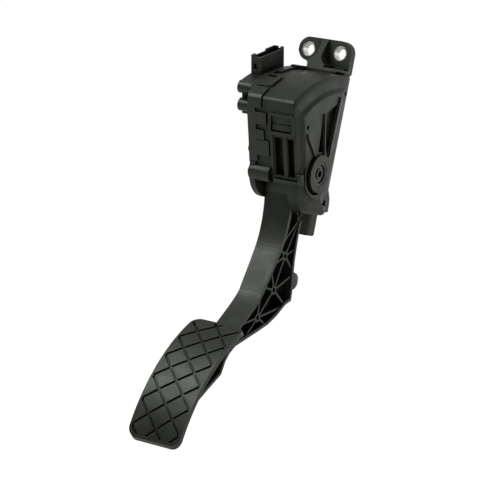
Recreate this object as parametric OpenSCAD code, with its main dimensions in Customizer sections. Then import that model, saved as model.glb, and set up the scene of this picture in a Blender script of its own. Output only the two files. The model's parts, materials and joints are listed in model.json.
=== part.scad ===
// Electronic accelerator pedal with its housing, return springs and position sensor.
// Row frame: origin midway between the two upper fixing holes on the mounting plane,
// +X to the vehicle's right as the driver sees it, +Y into the bulkhead, +Z up.

/* [Mounting] */
// Distance between the two upper fixing holes
hole_spacing = 27; // [26:0.5:29]
// Bore of the steel bushes in the ears
bush_bore = 9; // [8:0.1:9.6]
// Outside diameter of the steel bushes
bush_outer = 11; // [10.6:0.1:12.5]
// Thickness of the ear plate at the holes
ear_thickness = 6.5; // [5:0.5:8]
// Corner radius of the ears
ear_radius = 9; // [8:0.25:10]
// How far a steel bush stands proud of the ear's front face
bush_proud = 0.4; // [0.2:0.1:1]
// Radius of the scoop round each fixing hole
scoop_radius = 11.2; // [10:0.2:12]
// Diameter of the locating peg at the foot
peg_diameter = 8; // [6:0.5:9]
// Length of the locating peg behind the mounting plane
peg_length = 9; // [5:0.5:12]

/* [Pivot] */
// Distance of the pivot in front of the mounting plane
pivot_depth = 42; // [40:0.5:44]
// Distance of the pivot below the upper fixing holes
pivot_drop = 90.5; // [88:0.5:92]
// Lean of the housing back from the mounting plane, in degrees
housing_tilt = 20; // [18:0.5:21]
// Diameter of the pivot pin's shank
pin_diameter = 10; // [8:0.5:11]
// Diameter of the pivot pin's head
pin_head_diameter = 18; // [16:0.5:20]
// Thickness of the pivot pin's head
pin_head_height = 2.6; // [2:0.2:3.4]
// Diameter of the hole in the pivot pin's head
pin_socket = 5.2; // [4:0.2:6]
// Wall of the two hub bushes
bush_wall = 1.4; // [1:0.1:2]
// Outside radius of the lever's hub
hub_radius = 11.6; // [11:0.1:11.8]

/* [Housing] */
// Left end of the main housing, where the sensor housing joins it
seam_x = -11.6; // [-13:0.2:-11]
// Right end of the housing's roof
roof_right = 25.4; // [24:0.2:26.4]
// Face of the hub boss on the right
hub_face = 34.4; // [33:0.2:36]
// Outside radius of the hub boss
hub_boss_radius = 14; // [13:0.25:15]
// Wall thickness of the housing
wall = 2.5; // [2:0.1:3]
// Radius of the roof's long curve
roof_radius = 107.6; // [104:0.4:112]
// Distance of the front face ahead of the pivot, at the top
front_reach = 25; // [24.5:0.25:27]
// Depth of the two upright pockets in the front face
pocket_depth = 5; // [3:0.25:5.2]
// Depth of the floor below the pivot
floor_drop = 30.5; // [29.5:0.25:31]
// Thickness of the floor behind the lever
floor_thickness = 3.6; // [3:0.2:4]
// Thickness of the snap tabs and the castellated edge
tab_thickness = 1.3; // [1:0.1:2]

/* [Lever] */
// Middle of the lever, the springs and the stop block
lever_x = 4.7; // [4:0.1:5.2]
// Width of the lever at its neck
neck_width = 23.5; // [22:0.25:23.8]
// Width of the lever at its heel, above the pad
heel_width = 19; // [17:0.5:21]
// Thickness of the lever's front strip
strip_thickness = 3; // [2.4:0.2:3.6]
// Thickness of the lever's rear strip
rear_strip = 2.4; // [2:0.2:3]
// Thickness of the lever's middle web
web_thickness = 2.6; // [2:0.2:3.4]
// Thickness of the lattice ribs
rib_thickness = 1.4; // [1.2:0.1:2.4]
// Radius of the round bosses where ribs meet
node_radius = 3.4; // [2.8:0.1:4]

/* [Pad] */
// Width of the pad
pad_width = 43; // [38:0.5:46]
// Radius of the pad's curved tread
pad_radius = 127.6; // [124:0.4:132]
// Length of the pad along its curve
pad_length = 110; // [104:1:114]
// Thickness of the pad
pad_thickness = 3.8; // [3.4:0.2:6]
// Corner radius of the pad
pad_corner = 7; // [4:0.5:9]
// Distance from one groove to the next along the pad
groove_pitch = 18.8; // [16:0.2:22]
// Slant of the grooves across the pad, in degrees
groove_slant = 43.5; // [40:0.5:48]
// Width of the grooves of the diamond tread
groove_width = 2; // [1:0.1:2.4]
// Depth of the grooves
groove_depth = 1.3; // [0.6:0.1:1.8]
// Plain margin round the tread
tread_margin = 1.8; // [1.6:0.2:5]

/* [Springs and stops] */
// Mean radius of the outer return spring
outer_spring_radius = 7.6; // [7.2:0.1:8]
// Wire diameter of the outer return spring
outer_wire = 2; // [1.6:0.1:2.2]
// Turns of the outer return spring
outer_turns = 6.5; // [5:0.5:7]
// Mean radius of the inner return spring
inner_spring_radius = 4.9; // [4.6:0.1:5.2]
// Wire diameter of the inner return spring
inner_wire = 1.4; // [1.2:0.1:1.6]
// Turns of the inner return spring
inner_turns = 8.5; // [7:0.5:9]
// Height of the springs above the pivot
spring_height = 42; // [41.5:0.25:43]
// Distance of the lever arm's spring face behind the pivot
arm_face = 13; // [12:0.25:14]
// Height of the full-throttle stop block
stop_height = 16.5; // [14:0.5:17]
// Depth of the full-throttle stop block in front of the mounting plane
stop_depth = 10.85; // [10:0.05:11.5]
// Thickness of the idle stop pad
idle_pad_thickness = 3; // [2.4:0.2:3.6]

/* [Connector] */
// Length of the connector socket
socket_length = 32.5; // [30:0.5:34]
// Width of the connector socket
socket_width = 8.5; // [8:0.1:9.5]
// Height of the connector socket above the roof
socket_height = 12.5; // [11:0.5:16]
// Wall of the connector socket
socket_wall = 1.3; // [1:0.1:1.5]
// Distance from one terminal to the next
terminal_pitch = 4; // [3.4:0.1:4.4]
// Width of a terminal blade
terminal_width = 1.5; // [1:0.1:2]
// Thickness of a terminal blade
terminal_thickness = 0.64; // [0.5:0.02:0.8]

/* [Clearances] */
// Gap between moulded pieces that snap or lap together
snap_gap = 0.1; // [0.05:0.01:0.2]
// Radial gap of a turning fit
turning_gap = 0.05; // [0.02:0.01:0.09]
// Gap between moving and fixed pieces
moving_gap = 0.35; // [0.3:0.05:0.5]

/* [Hidden] */
terminal_count = 6;

plastic = [0.07, 0.07, 0.075];
plastic_2 = [0.10, 0.10, 0.105];
rubber = [0.03, 0.03, 0.03];
steel = [0.78, 0.78, 0.77];
brass = [0.80, 0.66, 0.38];
board_green = [0.08, 0.30, 0.16];
stop_brown = [0.27, 0.24, 0.22];

// Points in the upright frame at the pivot turned into the leaning housing frame, as [y, z]
function lean(p) = [
  p[0] * cos(housing_tilt) + p[1] * sin(housing_tilt),
  -p[0] * sin(housing_tilt) + p[1] * cos(housing_tilt)
];
// Point of the leaning frame in the upright one, as [y, z]
function raised(p) = [
  p[0] * cos(housing_tilt) - p[1] * sin(housing_tilt),
  p[0] * sin(housing_tilt) + p[1] * cos(housing_tilt)
];
// Point of the lever at full travel, in the upright frame
function swung(p) = [
  p[0] * cos(pedal_travel) - p[1] * sin(pedal_travel),
  p[0] * sin(pedal_travel) + p[1] * cos(pedal_travel)
];
function arc(c, r, a0, a1, n) = [
  for (i = [0 : n]) c + r * [cos(a0 + (a1 - a0) * i / n), sin(a0 + (a1 - a0) * i / n)]
];
// Height of a circle's top side at a place across it
function top_of(c, r, y) = c[1] + sqrt(r * r - pow(y - c[0], 2));
// Smooth curve through a point, its two handles and the next point
function bend(p0, p1, p2, p3, n) = [
  for (i = [0 : n]) let (t = i / n, s = 1 - t)
    s * s * s * p0 + 3 * s * s * t * p1 + 3 * s * t * t * p2 + t * t * t * p3
];

// Housing outline, in the leaning frame at the pivot
knee_z = spring_height + 7;
lip_z = -3;
front_lean = 5 / 52;
roof_centre = [16.2, spring_height - 82.9];
roof_corner = 4;
corner_y = -front_reach + roof_corner;
corner_centre = [corner_y, top_of(roof_centre, roof_radius - roof_corner, corner_y)];
corner_end = atan2(corner_centre[1] - roof_centre[1], corner_centre[0] - roof_centre[0]);
bulge_centre = [11, -6];
bulge_radius = 31.2;
side_steps = [
  [0, 0, 0], [0.9, 0.3, 0.5], [1.7, 0.9, 1.2], [2.4, 2, 2.2], [3, 3.6, 3.6], [3.5, 5.8, 5.8], [4, 9, 9]
];
side_1_x = roof_right + 4;
side_2_x = roof_right + 6.6;
hub_wall_x = 17.4;
hub_room = 18;
side_step = 0.4;
cavity_split = 18;
pocket_top = spring_height - 11;
back_right = 15.8;
foot_right = 23.8;
moat = 2;
side_eye = [-14.5, spring_height - 3.5];
back_eye = [45.5, spring_height + 7];

// Ears, in the row frame
hole_x = hole_spacing / 2;
ear_rise = 0.5;
ear_right = hole_x + ear_radius;
ear_left = -ear_right;
roof_at_ears = top_of(raised(roof_centre), roof_radius, pivot_depth) - pivot_drop;
ear_foot = roof_at_ears - 0.45;
web_foot = [-23.2, roof_at_ears + 2.05];

// Sensor housing, in the row frame's X and the leaning frame's Y and Z
plate_thickness = 3;
plate_x = seam_x - plate_thickness;
box_left = -29.1;
box_front = -6;
box_bottom = spring_height - 4;
box_back = 44;
disc_radius = 24;
disc_right = -7.4;
disc_left = seam_x - 0.3;
roof_left = spring_height + 24;
cover_thickness = 1.8;
cover_seat = box_left + cover_thickness;
seal_height = 0.8;
recess = 0.9;
box_wall = 2;
socket_left = box_left + 1;
socket_right = socket_left + socket_width;
socket_middle = (socket_left + socket_right) / 2;
socket_front = 5.1;
socket_floor = roof_left + 0.5;
socket_top = roof_left + socket_height;
terminal_depth = 6.5;
board_thickness = 1.6;
board_right = plate_x - 3.4;
board_left = board_right - board_thickness;
terminal_foot = spring_height + 17;
board_posts = [[5, spring_height + 3], [36, spring_height + 3], [34, spring_height + 12]];

// Screw bosses of the sensor housing, as [y, z] in the leaning frame
boss_radius = 4.8;
boss_left = box_left + 1;
boss_places = [[-9.5, spring_height + 17.4], [-9.5, spring_height + 4]];
boss_seat = plate_x - 4;
column_right = seam_x + 6.6;
lower_boss = [-19.2, 0.6];
lower_boss_radius = 6.4;
lower_boss_right = 5;
lower_boss_left = seam_x + 5.8;
screw_radius = 1.5;
screw_head = 3.2;
screw_bore = screw_radius + 0.02;
screw_length = 11.5;

// Lever, in the upright frame at the pivot, as [y, z]
heel_front = [-44.28, -118.37];
pad_top_angle = 118.6;
pad_centre = heel_front - pad_radius * [cos(pad_top_angle), sin(pad_top_angle)];
pad_foot_angle = pad_top_angle + pad_length / pad_radius * 180 / PI;
pad_middle = (pad_top_angle + pad_foot_angle) / 2;
pad_half_chord = pad_radius * sin((pad_foot_angle - pad_top_angle) / 2);
nodes_at = [[17.9, -35], [7.2, -64], [1.2, -89.9], [-15.2, -111]];
lattice = [
  [[17.9, -35], [0, -23.7]], [[17.9, -35], [1.9, -52.9]], [[17.9, -35], [7.2, -64]],
  [[7.2, -64], [-2.2, -58.5]], [[7.2, -64], [19.5, -58.5]], [[7.2, -64], [-7.7, -72.4]],
  [[7.2, -64], [21.6, -73.2]], [[7.2, -64], [1.2, -89.9]],
  [[1.2, -89.9], [-8.4, -75.3]], [[1.2, -89.9], [23.5, -78]], [[1.2, -89.9], [-11.3, -88.7]],
  [[1.2, -89.9], [19.8, -99.5]], [[1.2, -89.9], [-15.2, -111]],
  [[-15.2, -111], [-16.5, -99]], [[-15.2, -111], [17.4, -102]], [[-15.2, -111], [-36.3, -116.7]],
  [[-15.2, -111], [-2, -115.9]], [[-15.2, -111], [-27.4, -125]], [[-36.3, -116.7], [-42, -134]]
];
bump_at = [24.4, -80.6];
bump_radius = 6.2;
neck_z = -17;
arm_width = 16.4;
arm_back = arm_face + 11;
idle_pad_start = arm_back + moving_gap;
arm_top = spring_height + 8;
shoe_outer = spring_height + 13.4;
shoe_inner = shoe_outer - 8.4;
shoe_width = 9;
friction_track = shoe_outer + 0.3;
magnet_at = [18, spring_height - 3];
seat_radius = outer_spring_radius + outer_wire / 2 + 0.6;
spring_front = -front_reach + wall + (knee_z - spring_height + seat_radius) * front_lean;
seat_thickness = 2;
spring_peg_radius = inner_spring_radius - inner_wire / 2 - 0.3;
spring_start = spring_front + seat_thickness;
flange_thickness = 0.8;
retainer_radius = 8.4;
retainer_thickness = 1.1;
pin_end = disc_left - retainer_thickness - 0.8;
hub_right = hub_wall_x - moving_gap - flange_thickness;
hub_left = disc_right + moving_gap + flange_thickness;
bush_radius = pin_diameter / 2 + turning_gap + bush_wall;
stop_touch = [19.6, -52];
stop_front = pivot_depth - stop_depth;
pedal_travel = asin((stop_front - moving_gap) / norm(stop_touch)) - atan2(stop_touch[0], -stop_touch[1]);
exit_back = swung([19, -34])[0] + 2.3;
stop_middle = (stop_front + pivot_depth) / 2;
stop_half = 11.6;
floor_half = 13.5;
stem_radius = 3;

$fn = 96;

// Places what follows at the pivot, upright
module at_pivot() {
  translate([0, -pivot_depth, -pivot_drop]) children();
}

// Places what follows at the pivot, leaning with the housing
module at_housing() {
  at_pivot() rotate([housing_tilt, 0, 0]) children();
}

// Draws a [y, z] shape from x0 to x1
module along_x(x0, x1) {
  translate([x0, 0, 0]) rotate([90, 0, 90]) linear_extrude(x1 - x0) children();
}

// A box from one corner to the other
module block(low, high) {
  translate(low) cube(high - low);
}

// A rectangle with round corners from one corner to the other
module round_square(low, high, r) {
  for (x = [low[0] + r, high[0] - r], y = [low[1] + r, high[1] - r]) translate([x, y]) circle(r);
  translate(low + [r, 0]) square(high - low - [2 * r, 0]);
  translate(low + [0, r]) square(high - low - [0, 2 * r]);
}

// A cylinder along X
module rod(x0, x1, r, at = [0, 0]) {
  translate([x0, at[0], at[1]]) rotate([0, 90, 0]) cylinder(r = r, h = x1 - x0);
}

// A flat bar with round ends between two [y, z] points
module bar(a, b, w) {
  along = b - a;
  translate(a) rotate(atan2(along[1], along[0])) translate([0, -w / 2]) square([norm(along), w]);
}

// Side outline of the housing, shrunk by an inset and by its own inset at the front
module body_outline(inset, front_inset) {
  front = -front_reach + front_inset;
  low = -60;
  kept = max(inset, 0);
  intersection() {
    translate(roof_centre) circle(roof_radius - inset);
    polygon([
      [front, 90], [front, knee_z], [front + (knee_z - low) * front_lean, low], [120, low], [120, 90]
    ]);
    polygon([
      lean([-100, -floor_drop + kept]), lean([pivot_depth - kept, -floor_drop + kept]),
      lean([pivot_depth - kept, 150]), lean([-100, 150])
    ]);
    union() {
      translate(bulge_centre) circle(bulge_radius - inset);
      translate([-60, lip_z + inset]) square([200, 120]);
      translate([bulge_centre[0], -80]) square([120, 120]);
    }
    polygon(concat(
      [[120, -80], [-80, -80], [-80, corner_centre[1]]],
      arc(corner_centre, max(roof_corner - inset, 0.3) + 0.02, 180, corner_end, 5),
      [corner_centre + 60 * [cos(corner_end), sin(corner_end)], [120, 120]]
    ));
  }
}

// The roof and front skin between two distances outside the outline
module skin(inner, outer) {
  difference() {
    body_outline(-outer, -outer);
    body_outline(-inner, -inner);
  }
}

// Where the right side turns back towards the bulkhead, moved forward by a shift
module side_limit(shift) {
  polygon([
    [-60, -60], [18 - shift, -60], [22 - shift, 3], [32 - shift, 18.5], [52 - shift, spring_height + 8.5],
    [58 - shift, spring_height + 20], [58 - shift, 90], [-60, 90]
  ]);
}

// The part of the outline that bulges to the right
module side_outline(inset, shift) {
  intersection() {
    body_outline(inset, inset * 0.45);
    side_limit(shift);
  }
}

// Plan of the main housing's width behind the right side, as [x, z] in the upright frame
module core_plan() {
  polygon([
    [seam_x - 1, 120], [back_right, 120], [back_right, 19.5], [18, 5.5], [20.9, -10], [23.3, -17.2],
    [foot_right, -22.5], [foot_right, -60], [seam_x - 1, -60]
  ]);
}

// Outer form of the main housing
module housing_solid() {
  intersection() {
    at_housing() along_x(seam_x, foot_right + 1) body_outline(0, 0);
    at_pivot() along_y(-60, 60) core_plan();
  }
  at_housing() {
    along_x(seam_x, roof_right) side_outline(0, 0);
    hull() {
      along_x(roof_right - 0.4, roof_right - 0.3) polygon([
        [14, 4], [22, 4.2], [31.8, 18.5], [51.8, spring_height + 8.4], [53, spring_height + 15],
        [14, spring_height + 16]
      ]);
      along_x(back_right - 0.4, back_right - 0.3) polygon([
        [14, 4], lean([pivot_depth - 0.4, 19.5]), lean([pivot_depth - 0.4, spring_height + 29.5]),
        [53, spring_height + 15], [14, spring_height + 16]
      ]);
    }
    hull() for (step = side_steps)
      along_x(roof_right + step[0] - 0.1, roof_right + step[0]) side_outline(step[1], step[2]);
    hull() {
      along_x(side_1_x - 0.4, side_1_x - 0.3) side_outline(9, 9);
      along_x(side_2_x - 0.1, side_2_x) side_outline(12, 16);
    }
    rod(roof_right - 1, hub_face, hub_boss_radius);
    rod(roof_right - 1, side_2_x, hub_boss_radius + moat + 2);
  }
  at_housing() intersection() {
    translate([foot_right - 2, 0, 0]) rotate([0, 90, 0])
      cylinder(r1 = hub_boss_radius + 16, r2 = hub_boss_radius + moat + 1.9, h = side_2_x - foot_right);
    along_x(foot_right - 3, side_2_x) body_outline(0.4, 0.4);
  }
}

// Plan of the two ears and the plate between them, as [x, z]
module ear_plan() {
  for (x = [-hole_x, hole_x]) translate([x, ear_rise]) circle(ear_radius);
  translate([-hole_x, ear_rise - ear_radius]) square([hole_spacing, 2 * ear_radius]);
  polygon([
    [ear_right, ear_rise], [ear_right, ear_foot + 3], [ear_right - 3, ear_foot],
    [seam_x + snap_gap, ear_foot], [seam_x + snap_gap, ear_foot + 6], [ear_left, -2], [ear_left, ear_rise]
  ]);
}

// A solid of an [x, z] shape from y0 to y1
module along_y(y0, y1) {
  translate([0, y1, 0]) rotate([90, 0, 0]) linear_extrude(y1 - y0) children();
}

// Scoops that bare the ears round the fixing holes, as [x, z]
module scoops() {
  for (side = [-1, 1]) {
    translate([side * hole_x, 0]) circle(scoop_radius);
    translate([side > 0 ? hole_x - scoop_radius : -40, 0]) square([40 - hole_x + scoop_radius, 40]);
    translate([side > 0 ? hole_x : -40, -9.9]) square([40 - hole_x, 12]);
  }
  polygon([[-40, -40], [-4, -40], [-4, ear_foot + 3], [-6.2, -8.4], [-12, -4], [-40, -4]]);
  translate([9, -12.4]) square([30, 8]);
}

// The web between the ears, running down to the roof
module ear_web() {
  difference() {
    intersection() {
      along_y(-60, 0) ear_plan();
      along_x(ear_left, ear_right) polygon([
        [0, 10], [-ear_thickness, 10], web_foot, [web_foot[0], ear_foot - 8], [0, ear_foot - 8]
      ]);
    }
    along_y(-60, -ear_thickness) scoops();
  }
}

module ears() {
  along_y(-ear_thickness, 0) ear_plan();
  ear_web();
  block([12, -ear_thickness - 1.8, ear_foot], [ear_right - 3, -0.5, -10.4]);
}

// Window frame and recess on the front face, as a raised rim
module front_frame() {
  translate([0, 0, spring_height]) {
    difference() {
      along_y(-front_reach - 1.2, -front_reach + 3) round_square([5.6, -9.4], [27, 6.6], 1.6);
      along_y(-front_reach - 2, -front_reach + 1.2) round_square([7.6, -7], [24.8, 4.6], 1);
    }
    block([8.6, -front_reach, -5.8], [23.6, -front_reach + 2, -1.8]);
  }
}

// Lip under the two pockets
module front_lip() {
  lip_front = -front_reach + (knee_z - lip_z) * front_lean - 1.4;
  translate([0, lip_front, lip_z]) {
    difference() {
      block([6.4, 0, -1.6], [28, 8, 4.2]);
      block([8.2, 1.2, 1.4], [25.4, 5, 5]);
    }
    translate([27.6, 3.2, -1.6]) cylinder(r = 3.2, h = 8.6);
  }
}

// Upright ridges beside and between the pockets
module front_ridges() {
  for (x = [[5.8, 7.8], [16.6, 19.6]]) along_x(x[0], x[1]) intersection() {
    skin(-2, 0.9);
    translate([-60, lip_z + 1]) square([60, pocket_top - lip_z + 2]);
  }
}

// The two deep pockets in the front face
module front_pockets() {
  for (x = [[9, 16.2], [20, 25.2]]) along_x(x[0], x[1]) difference() {
    translate([-60, 1.2]) square([60, pocket_top - 2]);
    body_outline(0, pocket_depth);
  }
}

// Ribs and shallow pockets of the side face, radiating from the hub boss
module side_ribs() {
  along_x(side_1_x, side_2_x + 1.3) {
    bar([-15.5, spring_height - 9], [-3.5, 12.5], 1.7);
    bar([8.6, spring_height + 1], [8.6, 11], 1.5);
    bar([32, spring_height + 8], [15, 9], 1.5);
  }
  rod(side_1_x - 3, side_1_x + 1.6, 3, side_eye);
  rod(back_right + 4, roof_right + 1, 3.2, back_eye);
}

module side_pockets() {
  along_x(side_2_x - 3.2, hub_face + 5) {
    polygon([[7.6, spring_height], [7.6, 14.5], [0.5, 16]]);
    polygon([[9.8, spring_height], [9.8, 14], [14.2, 11], [29, spring_height + 4]]);
  }
  difference() {
    rod(side_2_x - 3, hub_face + 1, hub_boss_radius + moat);
    rod(side_2_x - 4, hub_face + 2, hub_boss_radius);
    along_x(side_2_x - 5, hub_face + 3)
      polygon([[-4, 14], [-8, 60], [60, 60], [60, -60], [4, -60], [1, -14]]);
  }
  rod(side_1_x - 2, side_1_x + 5, 1.7, side_eye);
  rod(roof_right - 2.4, roof_right + 5, 1.7, back_eye);
}

// Side outline of the upper hollow, shallower behind the two pockets
module upper_hollow() {
  intersection() {
    body_outline(wall, wall);
    translate([-60, pocket_top + 1]) square([200, 90]);
  }
  intersection() {
    body_outline(wall, wall + pocket_depth);
    translate([-60, cavity_split]) square([200, 60]);
  }
}

// Inside of the housing, open to the left and where the lever comes out
module housing_hollow() {
  along_x(seam_x - 1, back_right - wall) upper_hollow();
  along_x(seam_x - 1, roof_right - wall) intersection() {
    upper_hollow();
    side_limit(wall + 1);
  }
  along_x(seam_x - 1, back_right - wall) intersection() {
    body_outline(wall, wall + pocket_depth);
    translate([-60, -60]) square([200, 60.5 + cavity_split]);
  }
  along_x(seam_x - 1, hub_wall_x) intersection() {
    body_outline(wall, wall + pocket_depth);
    translate([-60, -60]) square([60 + hub_room, 60.5 + cavity_split]);
  }
  rod(seam_x - 1, disc_right + snap_gap, disc_radius + snap_gap);
  rod(seam_x - 1, lower_boss_left, lower_boss_radius + snap_gap, lower_boss);
}

// Way out for the lever, in the upright frame at the pivot
module lever_exit() {
  along_x(seam_x - 1, hub_wall_x + side_step) polygon([
    [-26, -11], [-14, -9], [6, -9], [exit_back, -20], [exit_back, -60], [-60, -60], [-60, -11]
  ]);
}

// Rib behind the idle stop pad, friction rib above the lever's arm and land for the springs
module inner_ribs() {
  intersection() {
    block(
      [-4, idle_pad_start + idle_pad_thickness, spring_height - 5], [back_right - 1, 80, spring_height + 3]
    );
    along_x(-20, roof_right) body_outline(1, 1);
  }
  along_x(lever_x - 3.6, lever_x + 3.6) difference() {
    intersection() {
      body_outline(1, 1);
      translate([-10, 30]) square([46, 50]);
    }
    circle(friction_track);
  }
  intersection() {
    translate([lever_x, -front_reach + 1, spring_height]) rotate([-90, 0, 0])
      cylinder(r = seat_radius, h = spring_front + front_reach - 1);
    along_x(-20, roof_right) body_outline(1, 1);
  }
}

// Columns inside the front wall for the two upper screws
module screw_columns() {
  for (place = boss_places) {
    rod(seam_x, column_right, screw_radius + 2, place);
    intersection() {
      block([seam_x, -front_reach + 1, place[1] - 1.2], [column_right, place[0], place[1] + 1.2]);
      along_x(seam_x - 1, column_right + 1) body_outline(1, 1);
    }
  }
}

module housing() {
  color(plastic) difference() {
    union() {
      difference() {
        union() {
          housing_solid();
          at_housing() {
            front_frame();
            front_lip();
            side_ribs();
          }
        }
        at_housing() {
          housing_hollow();
          front_pockets();
          side_pockets();
        }
        at_pivot() {
          lever_exit();
          along_x(hub_wall_x + 2.4, hub_face)
            polygon([[19.6, -22], [28.3, -12.3], [35.1, -18.7], [36.1, -24.5]]);
          along_x(lever_x + floor_half + 0.6, hub_face)
            polygon([[16, -floor_drop - 1], [60, -floor_drop - 1], [60, -24], [36, -28]]);
        }
      }
      at_housing() {
        front_ridges();
        inner_ribs();
        screw_columns();
        rod(lower_boss_left, lower_boss_right, lower_boss_radius, lower_boss);
      }
      ears();
      at_pivot() floor_pad();
      foot_peg();
    }
    for (side = [-1, 1]) translate([side * hole_x, 1, 0]) rotate([90, 0, 0])
      cylinder(d = bush_outer + 2 * turning_gap, h = ear_thickness + 20);
    at_housing() {
      rod(hub_wall_x - 1, hub_face + 1, pin_diameter / 2 + turning_gap);
      rod(hub_face - pin_head_height - snap_gap, hub_face + 1, pin_head_diameter / 2 + 0.3);
      rod(seam_x - 20, lower_boss_right - 2, screw_bore, lower_boss);
      for (place = boss_places) rod(seam_x - 1, column_right - 1, screw_bore, place);
    }
    at_pivot() translate([lever_x, stop_middle, -floor_drop - 1])
      cylinder(r = stem_radius + snap_gap, h = floor_thickness + 2);
  }
}

// Floor behind the lever that carries the full-throttle stop
module floor_pad() {
  block(
    [lever_x - floor_half, exit_back + 0.01, -floor_drop],
    [lever_x + floor_half, pivot_depth, -floor_drop + floor_thickness]
  );
}

// Foot that rests on the bulkhead, with its locating peg
module foot_peg() {
  translate([lever_x, -1, -pivot_drop - 17]) rotate([-90, 0, 0])
    cylinder(d = peg_diameter, h = peg_length + 1);
}

module castellation(x0, x1, low, high) {
  along_x(x0, x1) intersection() {
    skin(snap_gap, tab_thickness + snap_gap);
    polygon([[-60, low], [-60, high], [0, high], [0, low]]);
  }
}

module snap_tab_plan() {
  translate([-16.2, -13]) square([11.4, 20]);
  translate([-5, -9.8]) square([4.6, 12.8]);
  for (y = [-8.6, 2.6]) translate([-4.8, y]) circle(4.4);
}

// Slot through the snap tab
module tab_slot() {
  round_square([seam_x - 1.4, 0.6], [-4.4, 4.4], 0.8);
}

// Tabs and castellated flange that hook over the main housing
module snap_edge() {
  linear_extrude_band(-13, 8) difference() {
    snap_tab_plan();
    tab_slot();
  }
  along_x(plate_x + 0.6, seam_x + 4.2) intersection() {
    skin(snap_gap, tab_thickness + snap_gap);
    translate([14, 30]) square([28, 60]);
  }
  along_x(plate_x + 2, seam_x + 9) intersection() {
    skin(snap_gap, tab_thickness + 1.4);
    translate([36, 30]) square([5.8, 60]);
  }
  along_x(plate_x + 3, seam_x + 10.8) intersection() {
    skin(snap_gap, tab_thickness + snap_gap);
    translate([-60, spring_height + 9]) square([45.4, 39]);
  }
  castellation(seam_x - 0.6, seam_x + 15, spring_height - 3.4, spring_height + 5.6);
  castellation(seam_x - 0.6, seam_x + 12.4, spring_height - 15.4, spring_height - 8);
  castellation(seam_x - 0.6, seam_x + 16.2, spring_height - 27.6, spring_height - 16);
  castellation(seam_x - 0.6, seam_x + 6, 9.4, spring_height + 9.2);
}

module linear_extrude_band(y0, y1) {
  intersection() {
    along_x(-40, 40) skin(snap_gap, tab_thickness + snap_gap);
    translate([0, 0, spring_height - 2]) linear_extrude(40) intersection() {
      children();
      translate([-60, y0]) square([120, y1 - y0]);
    }
  }
}

// Outline of the sensor housing's side plate
module plate_outline() {
  rim = tab_thickness + snap_gap;
  intersection() {
    body_outline(-rim, -rim);
    union() {
      translate([-60, 8]) square([150, 90]);
      polygon([[0, 0], [0, 20], lean([60, 20]), lean([60, -12]), lean([0, -12])]);
    }
  }
}

// Outline of the raised sensor box
module box_outline(inset) {
  intersection() {
    body_outline(0.8 + inset, 0.8 + inset);
    translate([box_front + inset, box_bottom + inset]) square([
      box_back - box_front - 2 * inset, 60
    ]);
  }
}

module socket_outline(inset) {
  translate([socket_left + inset, socket_front + inset]) square([
    socket_width - 2 * inset, socket_length - 2 * inset
  ]);
}

// Raised parts of the connector socket's rim
module socket_lugs() {
  translate([0, 0, socket_top - 1]) linear_extrude(2.4) intersection() {
    difference() {
      socket_outline(0);
      socket_outline(socket_wall);
    }
    union() {
      translate([socket_left - 1, socket_front - 1]) square([3.6, 5.2]);
      translate([socket_left - 1, socket_front + socket_length - 13]) square([2.6, 16]);
      translate([socket_left - 1, socket_front + socket_length - 2]) square([5, 3]);
      translate([socket_right - 2.4, socket_front + socket_length - 2]) square([5, 3]);
    }
  }
}

// Plan wedge that slants the plate's front edge, as [x, y]
module plate_slant() {
  translate([0, 0, -30]) linear_extrude(120) polygon([
    [plate_x - 1, -11], [plate_x, -11], [seam_x + 0.3, -29], [plate_x - 1, -29]
  ]);
}

module sensor_housing() {
  color(plastic) at_housing() difference() {
    union() {
      difference() {
        along_x(plate_x, seam_x) plate_outline();
        plate_slant();
        rod(plate_x - 1, disc_left, retainer_radius + 1.2);
      }
      rod(disc_left, disc_right, disc_radius);
      along_x(seam_x - 0.01, seam_x + 3) difference() {
        body_outline(wall + snap_gap, wall + snap_gap);
        body_outline(wall + 1.6, wall + 1.6);
        translate([-60, -60]) square([200, 96]);
        for (place = boss_places) translate(place) square([60, 7.2 + 4 * snap_gap], center = true);
      }
      along_x(box_left, plate_x + 0.01) box_outline(0);
      translate([0, 0, roof_left - 6]) linear_extrude(socket_height + 6) socket_outline(0);
      socket_lugs();
      for (place = boss_places) rod(boss_left, plate_x + 0.01, boss_radius, place);
      rod(disc_left, lower_boss_left - snap_gap, lower_boss_radius, lower_boss);
      rod(seam_x - 3.4, seam_x, 3.2, [-17, 17]);
      snap_edge();
    }
    along_x(plate_x - 1.1, plate_x - 0.01) intersection() {
      skin(-2.2, 0.2);
      translate([box_front - 10, box_bottom]) square([box_back - box_front + 20, 60]);
    }
    along_x(cover_seat + seal_height - 0.01, plate_x - 1.8) box_outline(box_wall);
    along_x(box_left - 1, cover_seat + seal_height) box_outline(recess);
    translate([0, 0, socket_floor]) linear_extrude(socket_height + 1) socket_outline(socket_wall);
    for (i = [0 : terminal_count - 1]) terminal_shape(i, snap_gap / 2);
    rod(disc_left - 1, disc_right + 1, pin_diameter / 2 + turning_gap);
    for (place = boss_places) {
      rod(boss_left - 0.5, boss_seat, screw_head + 0.25, place);
      rod(boss_left - 0.5, seam_x + 4, screw_radius + 0.2, place);
    }
    rod(seam_x - 20, lower_boss_right, screw_radius + 0.2, lower_boss);
    block(
      [socket_left + 1.4, socket_front - 1, roof_left + 2.4],
      [socket_right - 1.4, socket_front + 0.5, socket_top - 3.2]
    );
    block(
      [socket_left + 2, socket_front - 1, roof_left + 3],
      [socket_left + 4.6, socket_front + socket_wall + 0.5, roof_left + 7]
    );
  }
  color(plastic) at_housing() for (place = board_posts)
    rod(board_right, plate_x - 0.5, 2, place);
}

module sensor_cover() {
  color(plastic_2) at_housing()
    along_x(box_left, cover_seat) box_outline(recess + snap_gap);
}

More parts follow.
